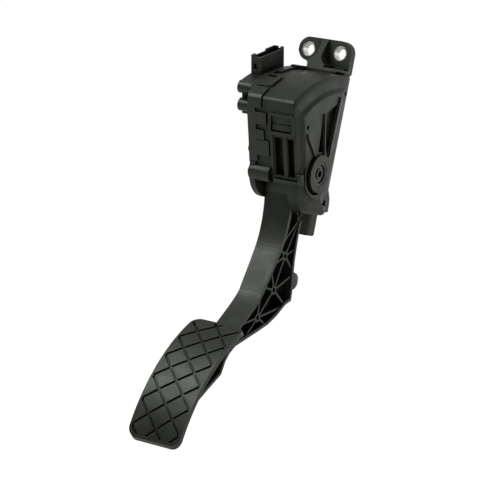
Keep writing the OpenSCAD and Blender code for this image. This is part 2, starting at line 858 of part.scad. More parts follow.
// Flat seal between the cover and the sensor housing
module cover_seal() {
  color(rubber) at_housing() along_x(cover_seat, cover_seat + seal_height) difference() {
    box_outline(recess + snap_gap);
    box_outline(box_wall);
  }
}

module board_outline() {
  intersection() {
    box_outline(box_wall + 0.6);
    translate([box_front, box_bottom]) square([46, 26]);
  }
}

module sensor_board() {
  color(board_green) at_housing() difference() {
    along_x(board_left, board_right) board_outline();
    for (i = [0 : terminal_count - 1]) terminal_shape(i, snap_gap / 2);
  }
}

module sensor_chip() {
  color(plastic) at_housing() block(
    [board_right, magnet_at[0] - 4, magnet_at[1] + 4],
    [board_right + 1.4, magnet_at[0] + 6, magnet_at[1] + 12]
  );
}

// Magnet carried by the lever's arm under the sensor board
module sensor_magnet() {
  color(steel) at_housing() rod(
    seam_x + 1.2, lever_x - arm_width / 2, 4, magnet_at
  );
}

module terminal_shape(i, grow) {
  y = socket_front + socket_length / 2 + (i - (terminal_count - 1) / 2) * terminal_pitch;
  half = terminal_width / 2 + grow;
  thick = terminal_thickness / 2 + grow;
  block(
    [socket_middle - thick, y - half, terminal_foot - thick],
    [socket_middle + thick, y + half, socket_top - terminal_depth + grow]
  );
  block(
    [socket_middle - thick, y - half, terminal_foot - thick],
    [board_right + 0.6 + grow, y + half, terminal_foot + thick]
  );
}

module terminal(i) {
  color(brass) at_housing() terminal_shape(i, 0);
}

// Point under the pad at a distance along it from its top and a depth below its back
function under_pad(along, depth) = let (a = pad_top_angle + along / pad_radius * 180 / PI)
  pad_centre + (pad_radius - pad_thickness - depth) * [cos(a), sin(a)];

// Side outline of the lever's blade, from the neck to its end under the pad
module blade_outline() {
  polygon(concat(
    bend([-4, neck_z], [-0.6, -28], [1.6, -48], [-6, -65], 18),
    bend([-6.4, -66], [-11, -78], [-14.5, -85], [-17.7, -93.2], 9),
    bend([-18.2, -94.1], [-23, -101.4], [-33, -110.4], heel_front + [1.6, -1.3], 9),
    [for (i = [0 : 8]) under_pad(4 + i * 9.8, -0.6)],
    [under_pad(84, 3), under_pad(70, 10.6), under_pad(61, 13.4), under_pad(52, 15.6), under_pad(42, 17.6)],
    [under_pad(31, 18.8), [-51.5, -143.5], [-47.5, -137.5]],
    [[-41.5, -132.4], [-27.7, -126.9], [-13.8, -121.4], [0.2, -115.5], [10.9, -108.7],
     [20.9, -100.2], [28.6, -96.7], [27.2, -87.4], [25, -80], [23.4, -75], [21.4, -66], [19.6, -52],
     [19, -45.5], [19, -34], [12, -20], [10.5, neck_z + 10]]
  ));
}

// Taper of the lever as [x, z], with an inset on both sides
module blade_taper(inset) {
  top = neck_width / 2 - inset;
  foot = heel_width / 2 - inset;
  translate([lever_x, 0]) polygon([
    [-top, 10], [-top, neck_z], [-foot, -95], [-foot, -160],
    [foot, -160], [foot, -95], [top, neck_z], [top, 10]
  ]);
}

// Ribs of the lattice inside the blade
module lattice_ribs() {
  for (rib = lattice) bar(rib[0], rib[1], rib_thickness);
  for (place = nodes_at) translate(place) circle(node_radius);
}

module lever_blade() {
  intersection() {
    along_x(-20, 40) difference() {
      blade_outline();
      offset(delta = -rear_strip) blade_outline();
    }
    along_y(-90, 60) blade_taper(0);
  }
  intersection() {
    along_x(-20, 40) difference() {
      blade_outline();
      translate([strip_thickness - rear_strip, 0]) offset(delta = -rear_strip) blade_outline();
      translate([12, -150]) square([60, 160]);
    }
    along_y(-90, 60) blade_taper(0);
  }
  along_x(lever_x - 7, lever_x + 8) difference() {
    translate(bump_at) circle(bump_radius);
    offset(delta = -rear_strip / 2) blade_outline();
  }
  along_x(lever_x - web_thickness / 2, lever_x + web_thickness / 2) blade_outline();
  intersection() {
    along_x(-20, 40) intersection() {
      lattice_ribs();
      blade_outline();
    }
    along_y(-90, 60) blade_taper(1);
  }
}

// Bell-crank arm above the hub, in the leaning frame
module lever_arm() {
  along_x(lever_x - arm_width / 2, lever_x + arm_width / 2) difference() {
    intersection() {
      polygon([
        [-hub_radius + 2, 4], [arm_face - 2, spring_height - 12], [arm_face, spring_height - 9],
        [arm_face, arm_top + 4], [arm_back, arm_top + 4], [arm_back, spring_height - 10],
        [hub_radius - 0.6, 0], [0, -4]
      ]);
      circle(shoe_outer - 1.2);
    }
    polygon([[3, 14], [arm_face + 1.4, spring_height - 8], [arm_back - 3, spring_height - 9], [7, 11]]);
  }
  translate([lever_x, arm_face, spring_height]) rotate([90, 0, 0])
    cylinder(r = spring_peg_radius, h = 4);
}

module pad_plan(inset) {
  w = pad_width / 2 - inset;
  l = pad_half_chord - inset;
  r = pad_corner - inset;
  for (x = [-1, 1], y = [-1, 1]) translate([x * (w - r), y * (l - r)]) circle(r);
  square([2 * w, 2 * (l - r)], center = true);
  square([2 * (w - r), 2 * l], center = true);
}

// A flat shape on the pad's chord plane, as [x, along], through the pad
module across_pad() {
  at_pivot() translate([0, pad_centre[0], pad_centre[1]]) rotate([pad_middle - 90, 0, 0])
    translate([0, 0, pad_radius - 40]) linear_extrude(60) children();
}

module pad_shell(outer, thickness) {
  at_pivot() along_x(-pad_width, pad_width) translate(pad_centre) difference() {
    circle(outer, $fn = 180);
    circle(outer - thickness, $fn = 180);
  }
}

// Plan of the grooved tread, with cut corners
module tread_plan() {
  w = pad_width / 2 - tread_margin;
  l = pad_half_chord - tread_margin;
  c = pad_corner * 0.6;
  polygon([
    [-w, -l + c], [-w, l - c], [-w + c, l], [w - c, l], [w, l - c], [w, -l + c], [w - c, -l], [-w + c, -l]
  ]);
}

// One set of parallel grooves of the diamond tread, cut into the curved face
module grooves(slant) {
  intersection() {
    pad_shell(pad_radius + 1, groove_depth + 1);
    across_pad() intersection() {
      tread_plan();
      for (i = [-6 : 6]) translate([0, (i + 0.58) * groove_pitch]) rotate(slant)
        square([pad_length * 2, groove_width], center = true);
    }
  }
}

module pad() {
  difference() {
    intersection() {
      pad_shell(pad_radius, pad_thickness);
      across_pad() pad_plan(0);
    }
    grooves(groove_slant);
    grooves(-groove_slant);
  }
}

module pedal_lever() {
  color(plastic) difference() {
    union() {
      at_pivot() lever_blade();
      at_housing() {
        rod(hub_left, hub_right, hub_radius);
        lever_arm();
      }
      at_pivot() along_x(hub_left + side_step, hub_right - side_step) polygon([
        [-10.6, -4], [-4, neck_z - 2], [11, neck_z - 4], [11.2, 0], [0, 4]
      ]);
      pad();
    }
    at_housing() {
      rod(hub_left - 1, hub_right + 1, bush_radius);
      along_x(lever_x - shoe_width / 2, lever_x + shoe_width / 2) shoe_outline(snap_gap);
    }
    at_pivot() for (place = nodes_at)
      rod(lever_x + 2, 40, 1.9, place);
    at_pivot() for (place = nodes_at)
      rod(-20, lever_x - 2, 1.9, place);
  }
}

// Seat of the friction shoe in the tip of the lever's arm
module shoe_outline(grow) {
  intersection() {
    difference() {
      circle(shoe_outer);
      circle(shoe_inner - grow);
    }
    polygon([
      [arm_face + 2.6 - grow, 30], [arm_face + 2.6 - grow, 70], [arm_back - 2.6 + grow, 70],
      [arm_back - 2.6 + grow, 30]
    ]);
  }
}

module friction_shoe() {
  color(plastic_2) at_housing()
    along_x(lever_x - shoe_width / 2 + snap_gap, lever_x + shoe_width / 2 - snap_gap) shoe_outline(0);
}

module pivot_pin() {
  color(plastic_2) at_housing() difference() {
    union() {
      rod(pin_end, hub_face - 1, pin_diameter / 2);
      rod(hub_face - pin_head_height, hub_face - 0.3, pin_head_diameter / 2);
    }
    rod(hub_face - 12, hub_face + 1, pin_socket / 2);
    difference() {
      rod(hub_face - 1.3, hub_face + 1, pin_head_diameter / 2 - 1.8);
      rod(hub_face - 2, hub_face - 0.5, pin_socket / 2 + 1.4);
    }
  }
}

// Push-on retainer on the left end of the pin
module pin_retainer() {
  color(steel) at_housing() difference() {
    rod(disc_left - retainer_thickness, disc_left, retainer_radius);
    rod(disc_left - 3, disc_left + 1, pin_diameter / 2 + turning_gap);
    for (a = [0 : 60 : 300]) rotate([a, 0, 0])
      block([disc_left - 3, pin_diameter / 2 - 1, -0.5], [disc_left + 1, pin_diameter / 2 + 1.8, 0.5]);
  }
}

// Flanged bush; the flange lies at x1 and faces the housing
module hub_bush(x0, x1, flange0, flange1) {
  difference() {
    union() {
      rod(x0, x1, bush_radius);
      rod(flange0, flange1, bush_radius + 2.2);
    }
    rod(x0 - 5, x1 + 5, pin_diameter / 2 + turning_gap);
  }
}

module hub_bush_right() {
  color(plastic_2) at_housing()
    hub_bush(hub_right - 9, hub_right + flange_thickness, hub_right, hub_right + flange_thickness);
}

module hub_bush_left() {
  color(plastic_2) at_housing()
    hub_bush(hub_left - flange_thickness, hub_left + 9, hub_left - flange_thickness, hub_left);
}

// Wire wound round an axis along -Y, from y0 to y1, as one swept solid
module coil(radius, wire, turns, y0, y1) {
  sides = 6;
  steps = floor(turns * 14);
  rings = [
    for (i = [0 : steps])
      let (a = 360 * turns * i / steps, y = y0 + wire / 2 + (y1 - y0 - wire) * i / steps)
      for (j = [0 : sides - 1]) let (b = 360 * j / sides)
        [
          (radius + wire / 2 * cos(b)) * cos(a),
          y + wire / 2 * sin(b),
          (radius + wire / 2 * cos(b)) * sin(a)
        ]
  ];
  walls = [
    for (i = [0 : steps - 1], j = [0 : sides - 1]) let (k = (j + 1) % sides)
      [i * sides + j, i * sides + k, (i + 1) * sides + k, (i + 1) * sides + j]
  ];
  first = [for (j = [sides - 1 : -1 : 0]) j];
  last = [for (j = [0 : sides - 1]) steps * sides + j];
  polyhedron(rings, concat([first], walls, [last]), convexity = 10);
}

module outer_spring() {
  color(steel) at_housing() translate([lever_x, 0, spring_height])
    coil(outer_spring_radius, outer_wire, outer_turns, spring_start, arm_face);
}

module inner_spring() {
  color(steel) at_housing() translate([lever_x, 0, spring_height])
    coil(inner_spring_radius, inner_wire, inner_turns, spring_start, arm_face);
}

// Seat of the two springs on the housing's front wall
module spring_seat() {
  color(plastic_2) at_housing() translate([lever_x, spring_front, spring_height]) rotate([-90, 0, 0]) {
    cylinder(r = seat_radius, h = seat_thickness);
    cylinder(r = spring_peg_radius, h = seat_thickness + 7);
  }
}

module idle_stop_pad() {
  color(rubber) at_housing() block(
    [-3, idle_pad_start, spring_height - 4.6],
    [12, idle_pad_start + idle_pad_thickness, spring_height + 2.6]
  );
}

// Block under the floor that the lever meets at full travel
module full_throttle_stop() {
  color(stop_brown) at_pivot() {
    intersection() {
      translate([0, 0, -floor_drop - stop_height]) linear_extrude(stop_height)
        round_square([lever_x - stop_half, stop_front], [lever_x + stop_half, pivot_depth], 1.6);
      along_y(0, 60)
        round_square([lever_x - stop_half, -floor_drop - stop_height], [lever_x + stop_half, 0], 2.6);
    }
    translate([lever_x, stop_middle, -floor_drop - 0.5])
      cylinder(r = stem_radius, h = floor_thickness + 0.5);
  }
}

module mount_bush(side) {
  color(steel) translate([side * hole_x, 0, 0]) rotate([90, 0, 0]) difference() {
    cylinder(d = bush_outer, h = ear_thickness + bush_proud);
    translate([0, 0, -1]) cylinder(d = bush_bore, h = ear_thickness + bush_proud + 2);
  }
}

// Pan-head screw along X with its head at the left
module screw(x, place, length) {
  color(steel) at_housing() difference() {
    union() {
      rod(x, x + length, screw_radius, place);
      rod(x - 2.2, x, screw_head, place);
    }
    translate([x - 2.3, place[0], place[1]]) rotate([0, 90, 0]) cylinder(r = 1.5, h = 1.4, $fn = 6);
  }
}

housing();
sensor_housing();
sensor_cover();
cover_seal();
sensor_board();
sensor_chip();
sensor_magnet();
terminal(0);  // terminal_1
terminal(1);  // terminal_2
terminal(2);  // terminal_3
terminal(3);  // terminal_4
terminal(4);  // terminal_5
terminal(5);  // terminal_6
pedal_lever();
pivot_pin();
pin_retainer();
hub_bush_right();
hub_bush_left();
outer_spring();
inner_spring();
spring_seat();
friction_shoe();
idle_stop_pad();
full_throttle_stop();
mount_bush(1);  // mount_bush_right
mount_bush(-1);  // mount_bush_left
screw(boss_seat, boss_places[0], screw_length);  // upper_screw
screw(boss_seat, boss_places[1], screw_length);  // middle_screw
screw(disc_left, lower_boss, screw_length);  // lower_screw
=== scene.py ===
import json
import math
import bpy
from mathutils import Matrix, Vector


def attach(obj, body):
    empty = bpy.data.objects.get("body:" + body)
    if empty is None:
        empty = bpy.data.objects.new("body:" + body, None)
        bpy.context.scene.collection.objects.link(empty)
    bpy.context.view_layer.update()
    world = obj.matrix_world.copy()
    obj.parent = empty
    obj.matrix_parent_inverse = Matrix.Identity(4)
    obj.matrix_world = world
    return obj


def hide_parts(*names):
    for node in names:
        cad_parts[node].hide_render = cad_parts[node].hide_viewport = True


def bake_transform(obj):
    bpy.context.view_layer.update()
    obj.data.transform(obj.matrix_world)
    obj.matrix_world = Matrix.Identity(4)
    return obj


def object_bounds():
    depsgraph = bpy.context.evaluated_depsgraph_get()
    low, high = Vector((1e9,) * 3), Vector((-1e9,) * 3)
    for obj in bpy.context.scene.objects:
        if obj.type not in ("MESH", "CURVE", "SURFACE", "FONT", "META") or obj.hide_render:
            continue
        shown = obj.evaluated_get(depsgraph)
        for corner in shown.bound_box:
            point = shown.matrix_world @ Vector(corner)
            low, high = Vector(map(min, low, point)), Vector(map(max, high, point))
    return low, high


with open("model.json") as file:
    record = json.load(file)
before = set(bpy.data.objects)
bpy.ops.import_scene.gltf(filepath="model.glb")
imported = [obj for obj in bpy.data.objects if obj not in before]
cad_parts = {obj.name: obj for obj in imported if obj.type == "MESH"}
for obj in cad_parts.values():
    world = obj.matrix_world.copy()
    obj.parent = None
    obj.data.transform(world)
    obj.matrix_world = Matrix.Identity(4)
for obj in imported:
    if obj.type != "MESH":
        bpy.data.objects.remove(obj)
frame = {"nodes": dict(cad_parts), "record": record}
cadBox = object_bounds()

mm = 0.001
smoothBelow = math.radians(40)  # faces that meet at less than this are shaded smooth
print("frame loaded:", len(frame["nodes"]), "nodes")

# camera, placed and turned as it stood for the photograph
camera = {
    "place": (0.7923, -1.4527, -0.0837),
    "right": (0.8480, 0.4979, 0.1812),
    "up": (-0.1769, -0.0564, 0.9826),
    "back": (0.4995, -0.8654, 0.0403),
    "lens": 165,
    "sensor": 36,
    "near": 0.05,
    "far": 20,
}
camData = bpy.data.cameras.new("camera")
camData.lens = camera["lens"]
camData.sensor_width = camera["sensor"]
camData.clip_start = camera["near"]
camData.clip_end = camera["far"]
camObject = bpy.data.objects.new("camera", camData)
bpy.context.scene.collection.objects.link(camObject)
turn = Matrix((camera["right"], camera["up"], camera["back"])).transposed()
camObject.rotation_mode = "QUATERNION"
camObject.rotation_quaternion = turn.to_quaternion()
camObject.location = camera["place"]
bpy.context.scene.camera = camObject
print("camera placed")


# an sRGB hex colour as the linear one that the nodes take
def linear(hexColour):
    out = []
    for i in (0, 2, 4):
        v = int(hexColour[i:i + 2], 16) / 255
        out.append(v / 12.92 if v <= 0.04045 else ((v + 0.055) / 1.055) ** 2.4)
    return (*out, 1)


# adds a node to a material or the world: settings are its own or its inputs' values, links go into its inputs
def addNode(owner, kind, settings=None, links=None):
    tree = owner.node_tree
    node = tree.nodes.new(kind)
    for name, value in (settings or {}).items():
        if isinstance(name, str) and hasattr(node, name):
            setattr(node, name, value)
        else:
            node.inputs[name].default_value = value
    for name, source in (links or {}).items():
        tree.links.new(source, node.inputs[name])
    return node


def newMaterial(name):
    material = bpy.data.materials.new(name)
    material.use_nodes = True
    material.node_tree.nodes.clear()
    return material


def finishMaterial(material, shader):
    output = addNode(material, "ShaderNodeOutputMaterial")
    material.node_tree.links.new(shader.outputs[0], output.inputs["Surface"])
    return material


# Polyamide 66 with glass fibre, injection moulded in a spark-eroded tool: near black, satin, with a fine even
# grain and faint flow marks, a painted highlight on its edges and painted shade in its hollows. The real grain is
# about 0.15 mm and is drawn at 0.5 mm to show.
# Acetal, moulded epoxy and the board's epoxy glass start from it too, each with its own tones and grain.
nylon = {
    "flow": 14,
    "fibre": 1.1,
    "fibreShare": 0.35,
    "toneStops": (0.36, 0.66),
    "duller": 0.07,
    "shinier": 0.06,
    "grainStrength": 0.55,
    "edge": 0.35,
    # the next three values shape the painted highlight on edges
    "edgeHighlightFrom": 0.99,  # cosine of the turn between a face and its widely rounded normal
    "edgeHighlightTo": 0.85,
    "edgeHighlightMost": 0.5,
    # the next three values shape the painted shade in hollows: its reach, and the specular level inside and outside
    # it
    "hollow": 9,
    "sheenInPaintedShade": 0.075,
    "sheenInOpen": 0.5,
    "sheenTint": "f6fff0",
}


# rim is the colour of the painted highlight on edges
def mouldedNylon(name, dark, pale, roughness, grain=0.5, grainDepth=0.03, rim="4c5047"):
    m = newMaterial(name)
    place = addNode(m, "ShaderNodeTexCoord").outputs["Object"]
    flow = addNode(m, "ShaderNodeTexNoise", {"Scale": 1 / (nylon["flow"] * mm), "Detail": 3, "Roughness": 0.55},
                   {"Vector": place})
    fibre = addNode(m, "ShaderNodeTexNoise", {"Scale": 1 / (nylon["fibre"] * mm), "Detail": 4, "Roughness": 0.7},
                    {"Vector": place})
    mixed = addNode(m, "ShaderNodeMix", {"data_type": "RGBA", 0: nylon["fibreShare"]},
                    {6: flow.outputs["Color"], 7: fibre.outputs["Color"]})
    tone = addNode(m, "ShaderNodeValToRGB", {}, {"Fac": mixed.outputs[2]})
    for stop, position, colour in zip(tone.color_ramp.elements, nylon["toneStops"], (dark, pale)):
        stop.position = position
        stop.color = linear(colour)
    soft = addNode(m, "ShaderNodeBevel", {"samples": 6, "Radius": nylon["edge"] * mm})
    gloss = addNode(m, "ShaderNodeMapRange",
                    {"From Min": 0.35, "From Max": 0.65,
                     "To Min": roughness - nylon["shinier"], "To Max": roughness + nylon["duller"]},
                    {"Value": flow.outputs["Fac"]})
    bump = addNode(m, "ShaderNodeTexNoise", {"Scale": 1 / (grain * mm), "Detail": 2, "Roughness": 0.5},
                   {"Vector": place})
    relief = addNode(m, "ShaderNodeBump", {"Strength": nylon["grainStrength"], "Distance": grainDepth * mm},
                     {"Height": bump.outputs["Fac"], "Normal": soft.outputs["Normal"]})
    # edges are found where a wide rounding turns the normal, and a paler colour is mixed in there as a painted
    # highlight
    wide = addNode(m, "ShaderNodeBevel", {"samples": 8, "Radius": 2 * nylon["edge"] * mm})
    flat = addNode(m, "ShaderNodeNewGeometry")
    turned = addNode(m, "ShaderNodeVectorMath", {"operation": "DOT_PRODUCT"},
                     {0: wide.outputs["Normal"], 1: flat.outputs["Normal"]})
    paintedEdgeHighlight = addNode(m, "ShaderNodeMapRange",
                   {"From Min": nylon["edgeHighlightFrom"], "From Max": nylon["edgeHighlightTo"],
                    "To Min": 0, "To Max": nylon["edgeHighlightMost"]},
                   {"Value": turned.outputs["Value"]})
    edgeHighlighted = addNode(m, "ShaderNodeMix", {"data_type": "RGBA", 7: linear(rim)},
                     {0: paintedEdgeHighlight.outputs["Result"], 6: tone.outputs["Color"]})
    # painted shade: ambient occlusion darkens the colour in hollows and turns their specular level down
    hollow = addNode(m, "ShaderNodeAmbientOcclusion", {"samples": 8, "Distance": nylon["hollow"] * mm},
                     {"Color": edgeHighlighted.outputs[2]})
    sheen = addNode(m, "ShaderNodeMapRange",
                    {"From Min": 0.3, "From Max": 0.95,
                     "To Min": nylon["sheenInPaintedShade"], "To Max": nylon["sheenInOpen"]},
                    {"Value": hollow.outputs["AO"]})
    shader = addNode(m, "ShaderNodeBsdfPrincipled", {"IOR": 1.53, "Specular Tint": linear(nylon["sheenTint"])},
                     {"Base Color": hollow.outputs["Color"], "Roughness": gloss.outputs["Result"],
                      "Normal": relief.outputs["Normal"], "Specular IOR Level": sheen.outputs["Result"]})
    return finishMaterial(m, shader)


# Steel, zinc, nickel or tin plated, or drawn to wire: bright, slightly clouded, with fine working lines.
steel = {
    "cloud": 3,
    "toneStops": (0.3, 0.7),
    "duller": 0.1,
    "shinier": 0.08,
    "lines": 0.35,
    "lineStrength": 0.3,
    "lineDepth": 0.01,
    "edge": 0.25,
}


def platedSteel(name, dark, pale, roughness):
    m = newMaterial(name)
    place = addNode(m, "ShaderNodeTexCoord").outputs["Object"]
    cloud = addNode(m, "ShaderNodeTexNoise", {"Scale": 1 / (steel["cloud"] * mm), "Detail": 4}, {"Vector": place})
    tone = addNode(m, "ShaderNodeValToRGB", {}, {"Fac": cloud.outputs["Fac"]})
    for stop, position, colour in zip(tone.color_ramp.elements, steel["toneStops"], (dark, pale)):
        stop.position = position
        stop.color = linear(colour)
    gloss = addNode(m, "ShaderNodeMapRange",
                    {"To Min": roughness - steel["shinier"], "To Max": roughness + steel["duller"]},
                    {"Value": cloud.outputs["Fac"]})
    wave = addNode(m, "ShaderNodeTexNoise", {"Scale": 1 / (steel["lines"] * mm), "Detail": 1}, {"Vector": place})
    soft = addNode(m, "ShaderNodeBevel", {"samples": 6, "Radius": steel["edge"] * mm})
    relief = addNode(m, "ShaderNodeBump", {"Strength": steel["lineStrength"], "Distance": steel["lineDepth"] * mm},
                     {"Height": wave.outputs["Fac"], "Normal": soft.outputs["Normal"]})
    shader = addNode(m, "ShaderNodeBsdfPrincipled", {"Metallic": 1},
                     {"Base Color": tone.outputs["Color"], "Roughness": gloss.outputs["Result"],
                      "Normal": relief.outputs["Normal"]})
    return finishMaterial(m, shader)


# Silicone rubber and cellular polyurethane, moulded: matt, a little dusty, with broad cloudy patches.
rubber = {
    "dust": 4,
    "toneStops": (0.35, 0.7),
    "pores": 0.6,
    "poreStrength": 0.5,
    "poreDepth": 0.04,
    "edge": 0.8,
}


def mouldedRubber(name, dark, pale, roughness):
    m = newMaterial(name)
    place = addNode(m, "ShaderNodeTexCoord").outputs["Object"]
    dust = addNode(m, "ShaderNodeTexNoise", {"Scale": 1 / (rubber["dust"] * mm), "Detail": 6, "Roughness": 0.65},
                   {"Vector": place})
    tone = addNode(m, "ShaderNodeValToRGB", {}, {"Fac": dust.outputs["Fac"]})
    for stop, position, colour in zip(tone.color_ramp.elements, rubber["toneStops"], (dark, pale)):
        stop.position = position
        stop.color = linear(colour)
    pores = addNode(m, "ShaderNodeTexNoise", {"Scale": 1 / (rubber["pores"] * mm), "Detail": 3}, {"Vector": place})
    soft = addNode(m, "ShaderNodeBevel", {"samples": 6, "Radius": rubber["edge"] * mm})
    relief = addNode(m, "ShaderNodeBump", {"Strength": rubber["poreStrength"], "Distance": rubber["poreDepth"] * mm},
                     {"Height": pores.outputs["Fac"], "Normal": soft.outputs["Normal"]})
    shader = addNode(m, "ShaderNodeBsdfPrincipled", {"IOR": 1.5, "Roughness": roughness, "Specular IOR Level": 0.35},
                     {"Base Color": tone.outputs["Color"], "Normal": relief.outputs["Normal"]})
    return finishMaterial(m, shader)


# each nylon finish's rim colour is its painted edge highlight
finishes = {
    "housing_nylon": mouldedNylon("glassFilledNylon", "161915", "20241e", 0.45),
    "sensor_nylon": mouldedNylon("glassFilledNylonSensor", "171a16", "22251f", 0.42, grain=0.6),
    "lever_nylon": mouldedNylon("glassFilledNylonLever", "151814", "1f221d", 0.4, grain=0.7, grainDepth=0.02),
    "pin_acetal": mouldedNylon("blackAcetal", "181b17", "21241f", 0.36, grain=0.8, grainDepth=0.01),
    "bush_acetal": mouldedNylon("naturalAcetal", "c9c5b8", "dad6ca", 0.4, grain=0.8, grainDepth=0.01, rim="e4e1d6"),
    "seal_rubber": mouldedRubber("siliconeSeal", "151515", "1f1f1e", 0.75),
    "stop_rubber": mouldedRubber("cellularPolyurethane", "31322d", "40413b", 0.6),
    "circuit_board": mouldedNylon("glassEpoxyBoard", "123a24", "1a4a2f", 0.35, grain=0.8, grainDepth=0.01,
                                  rim="3d6a4c"),
    "chip_epoxy": mouldedNylon("epoxyMoulding", "141414", "1d1d1d", 0.6),
    "magnet_steel": platedSteel("nickelPlate", "9a9a98", "b4b4b0", 0.25),
    "spring_steel": platedSteel("springWire", "6c6d6c", "8c8d8b", 0.35),
    "bush_steel": platedSteel("zincPlate", "dcddd9", "f8f8f5", 0.24),
    "screw_steel": platedSteel("zincPlateScrew", "a5a6a3", "cfcfca", 0.3),
    "terminal_tin": platedSteel("tinPlate", "a9a69c", "cac6ba", 0.3),
}
for part in frame["record"]["subparts"]:
    mesh = frame["nodes"][part["node"]].data
    mesh.materials.clear()
    mesh.materials.append(finishes[part["material_slot"]])
print("materials given:", len(finishes))


# rounds the sharp edges of the active piece
def roundEdges(piece, width):
    rounding = piece.modifiers.new("rounding", "BEVEL")
    rounding.width = width * mm
    rounding.segments = 3
    rounding.limit_method = "ANGLE"
    bpy.ops.object.modifier_apply(modifier="rounding")
    bpy.ops.object.shade_smooth_by_angle(angle=smoothBelow)


# rim of the gusset under the pad: it runs on from the lever's rear strip down to the pad's back
gussetRim = {
    "left": -4.8,
    "right": 14.2,
    "start": (-105.35, -250.5),
    "depth": 4.05,
    "steps": ((-5.05, -3.71), (-6.31, -4.94), (-6.55, -5.21), (-12.57, -8.02)),
}
bpy.ops.object.select_all(action="DESELECT")
bpy.ops.mesh.primitive_plane_add(size=1)
rim = bpy.context.object
rim.name = "gusset_rim"
rim.scale = ((gussetRim["right"] - gussetRim["left"]) * mm, gussetRim["depth"] * mm, 1)
rim.location = ((gussetRim["left"] + gussetRim["right"]) / 2 * mm,
                (gussetRim["start"][0] - gussetRim["depth"] / 2) * mm, gussetRim["start"][1] * mm)
bpy.ops.object.transform_apply(location=True, rotation=True, scale=True)
bpy.ops.object.mode_set(mode="EDIT")
bpy.ops.mesh.select_all(action="SELECT")
for back, up in gussetRim["steps"]:
    bpy.ops.mesh.extrude_region_move(TRANSFORM_OT_translate={"value": (0, back * mm, up * mm)})
bpy.ops.mesh.select_all(action="SELECT")
bpy.ops.mesh.normals_make_consistent(inside=False)
bpy.ops.object.mode_set(mode="OBJECT")
rim.data.materials.append(finishes["lever_nylon"])
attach(rim, "pedal")
print("gusset rim made")

# round bumper behind the lever, as wide as the lever there; it is cut off inside the rear rim
rearBumper = {
    "left": -4.8,
    "right": 14.2,
    "middle": (-14.6, -172.6),
    "radius": 6.4,
    "sides": 48,
    "edge": 1.3,
    "merge": 0.001,
    "rimPoint": (-17.96, -170.79),
    "rimNormal": (0.956, 0.293),
}
bpy.ops.object.select_all(action="DESELECT")
bumperPlace = Vector(((rearBumper["left"] + rearBumper["right"]) / 2, *rearBumper["middle"])) * mm
bpy.ops.mesh.primitive_cylinder_add(vertices=rearBumper["sides"], radius=rearBumper["radius"] * mm,
                                    depth=(rearBumper["right"] - rearBumper["left"]) * mm,
                                    location=bumperPlace, rotation=(0, math.pi / 2, 0))
bumper = bpy.context.object
bumper.name = "rear_bumper"
bpy.ops.object.transform_apply(location=True, rotation=True, scale=True)
bpy.ops.object.mode_set(mode="EDIT")
bpy.ops.mesh.select_all(action="SELECT")
bpy.ops.mesh.bisect(plane_co=(0, rearBumper["rimPoint"][0] * mm, rearBumper["rimPoint"][1] * mm),
                    plane_no=(0, *rearBumper["rimNormal"]), use_fill=True, clear_inner=True)
bpy.ops.object.mode_set(mode="OBJECT")
roundEdges(bumper, rearBumper["edge"])
bpy.ops.object.mode_set(mode="EDIT")
bpy.ops.mesh.select_all(action="SELECT")
bpy.ops.mesh.remove_doubles(threshold=rearBumper["merge"] * mm)  # the rounding leaves a face of no width at the cut
bpy.ops.object.mode_set(mode="OBJECT")
bumper.data.materials.append(finishes["lever_nylon"])
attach(bumper, "pedal")
print("rear bumper made")

# raised edge of the tray under the two front pockets, with its turned-up right end
trayEdge = {
    "low": (8.6, -24.2, -3.9),  # places are in the housing's own frame, which leans back about the pivot
    "high": (30.6, -20.6, -1.3),
    "post": (30.6, -21.9),
    "postRadius": 2.2,
    "postTop": 5.2,
    "postSides": 32,
    "edge": 0.7,
    "lean": math.radians(20),
    "pivot": (0, -42, -90.5),
}
trayLow, trayHigh = Vector(trayEdge["low"]), Vector(trayEdge["high"])
bpy.ops.object.select_all(action="DESELECT")
postPlace = Vector((*trayEdge["post"], (trayEdge["postTop"] + trayLow.z) / 2)) * mm
bpy.ops.mesh.primitive_cylinder_add(vertices=trayEdge["postSides"], radius=trayEdge["postRadius"] * mm,
                                    depth=(trayEdge["postTop"] - trayLow.z) * mm, location=postPlace)
post = bpy.context.object
bpy.ops.mesh.primitive_cube_add(size=1, location=(trayLow + trayHigh) / 2 * mm)
tray = bpy.context.object
tray.name = "tray_edge"
tray.scale = (trayHigh - trayLow) * mm
post.select_set(True)
bpy.ops.object.transform_apply(location=True, rotation=True, scale=True)
bpy.ops.object.join()
tray.rotation_euler = (trayEdge["lean"], 0, 0)
tray.location = Vector(trayEdge["pivot"]) * mm
bpy.ops.object.transform_apply(location=True, rotation=True, scale=True)
roundEdges(tray, trayEdge["edge"])
tray.data.materials.append(finishes["housing_nylon"])
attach(tray, "module")
print("tray edge made")
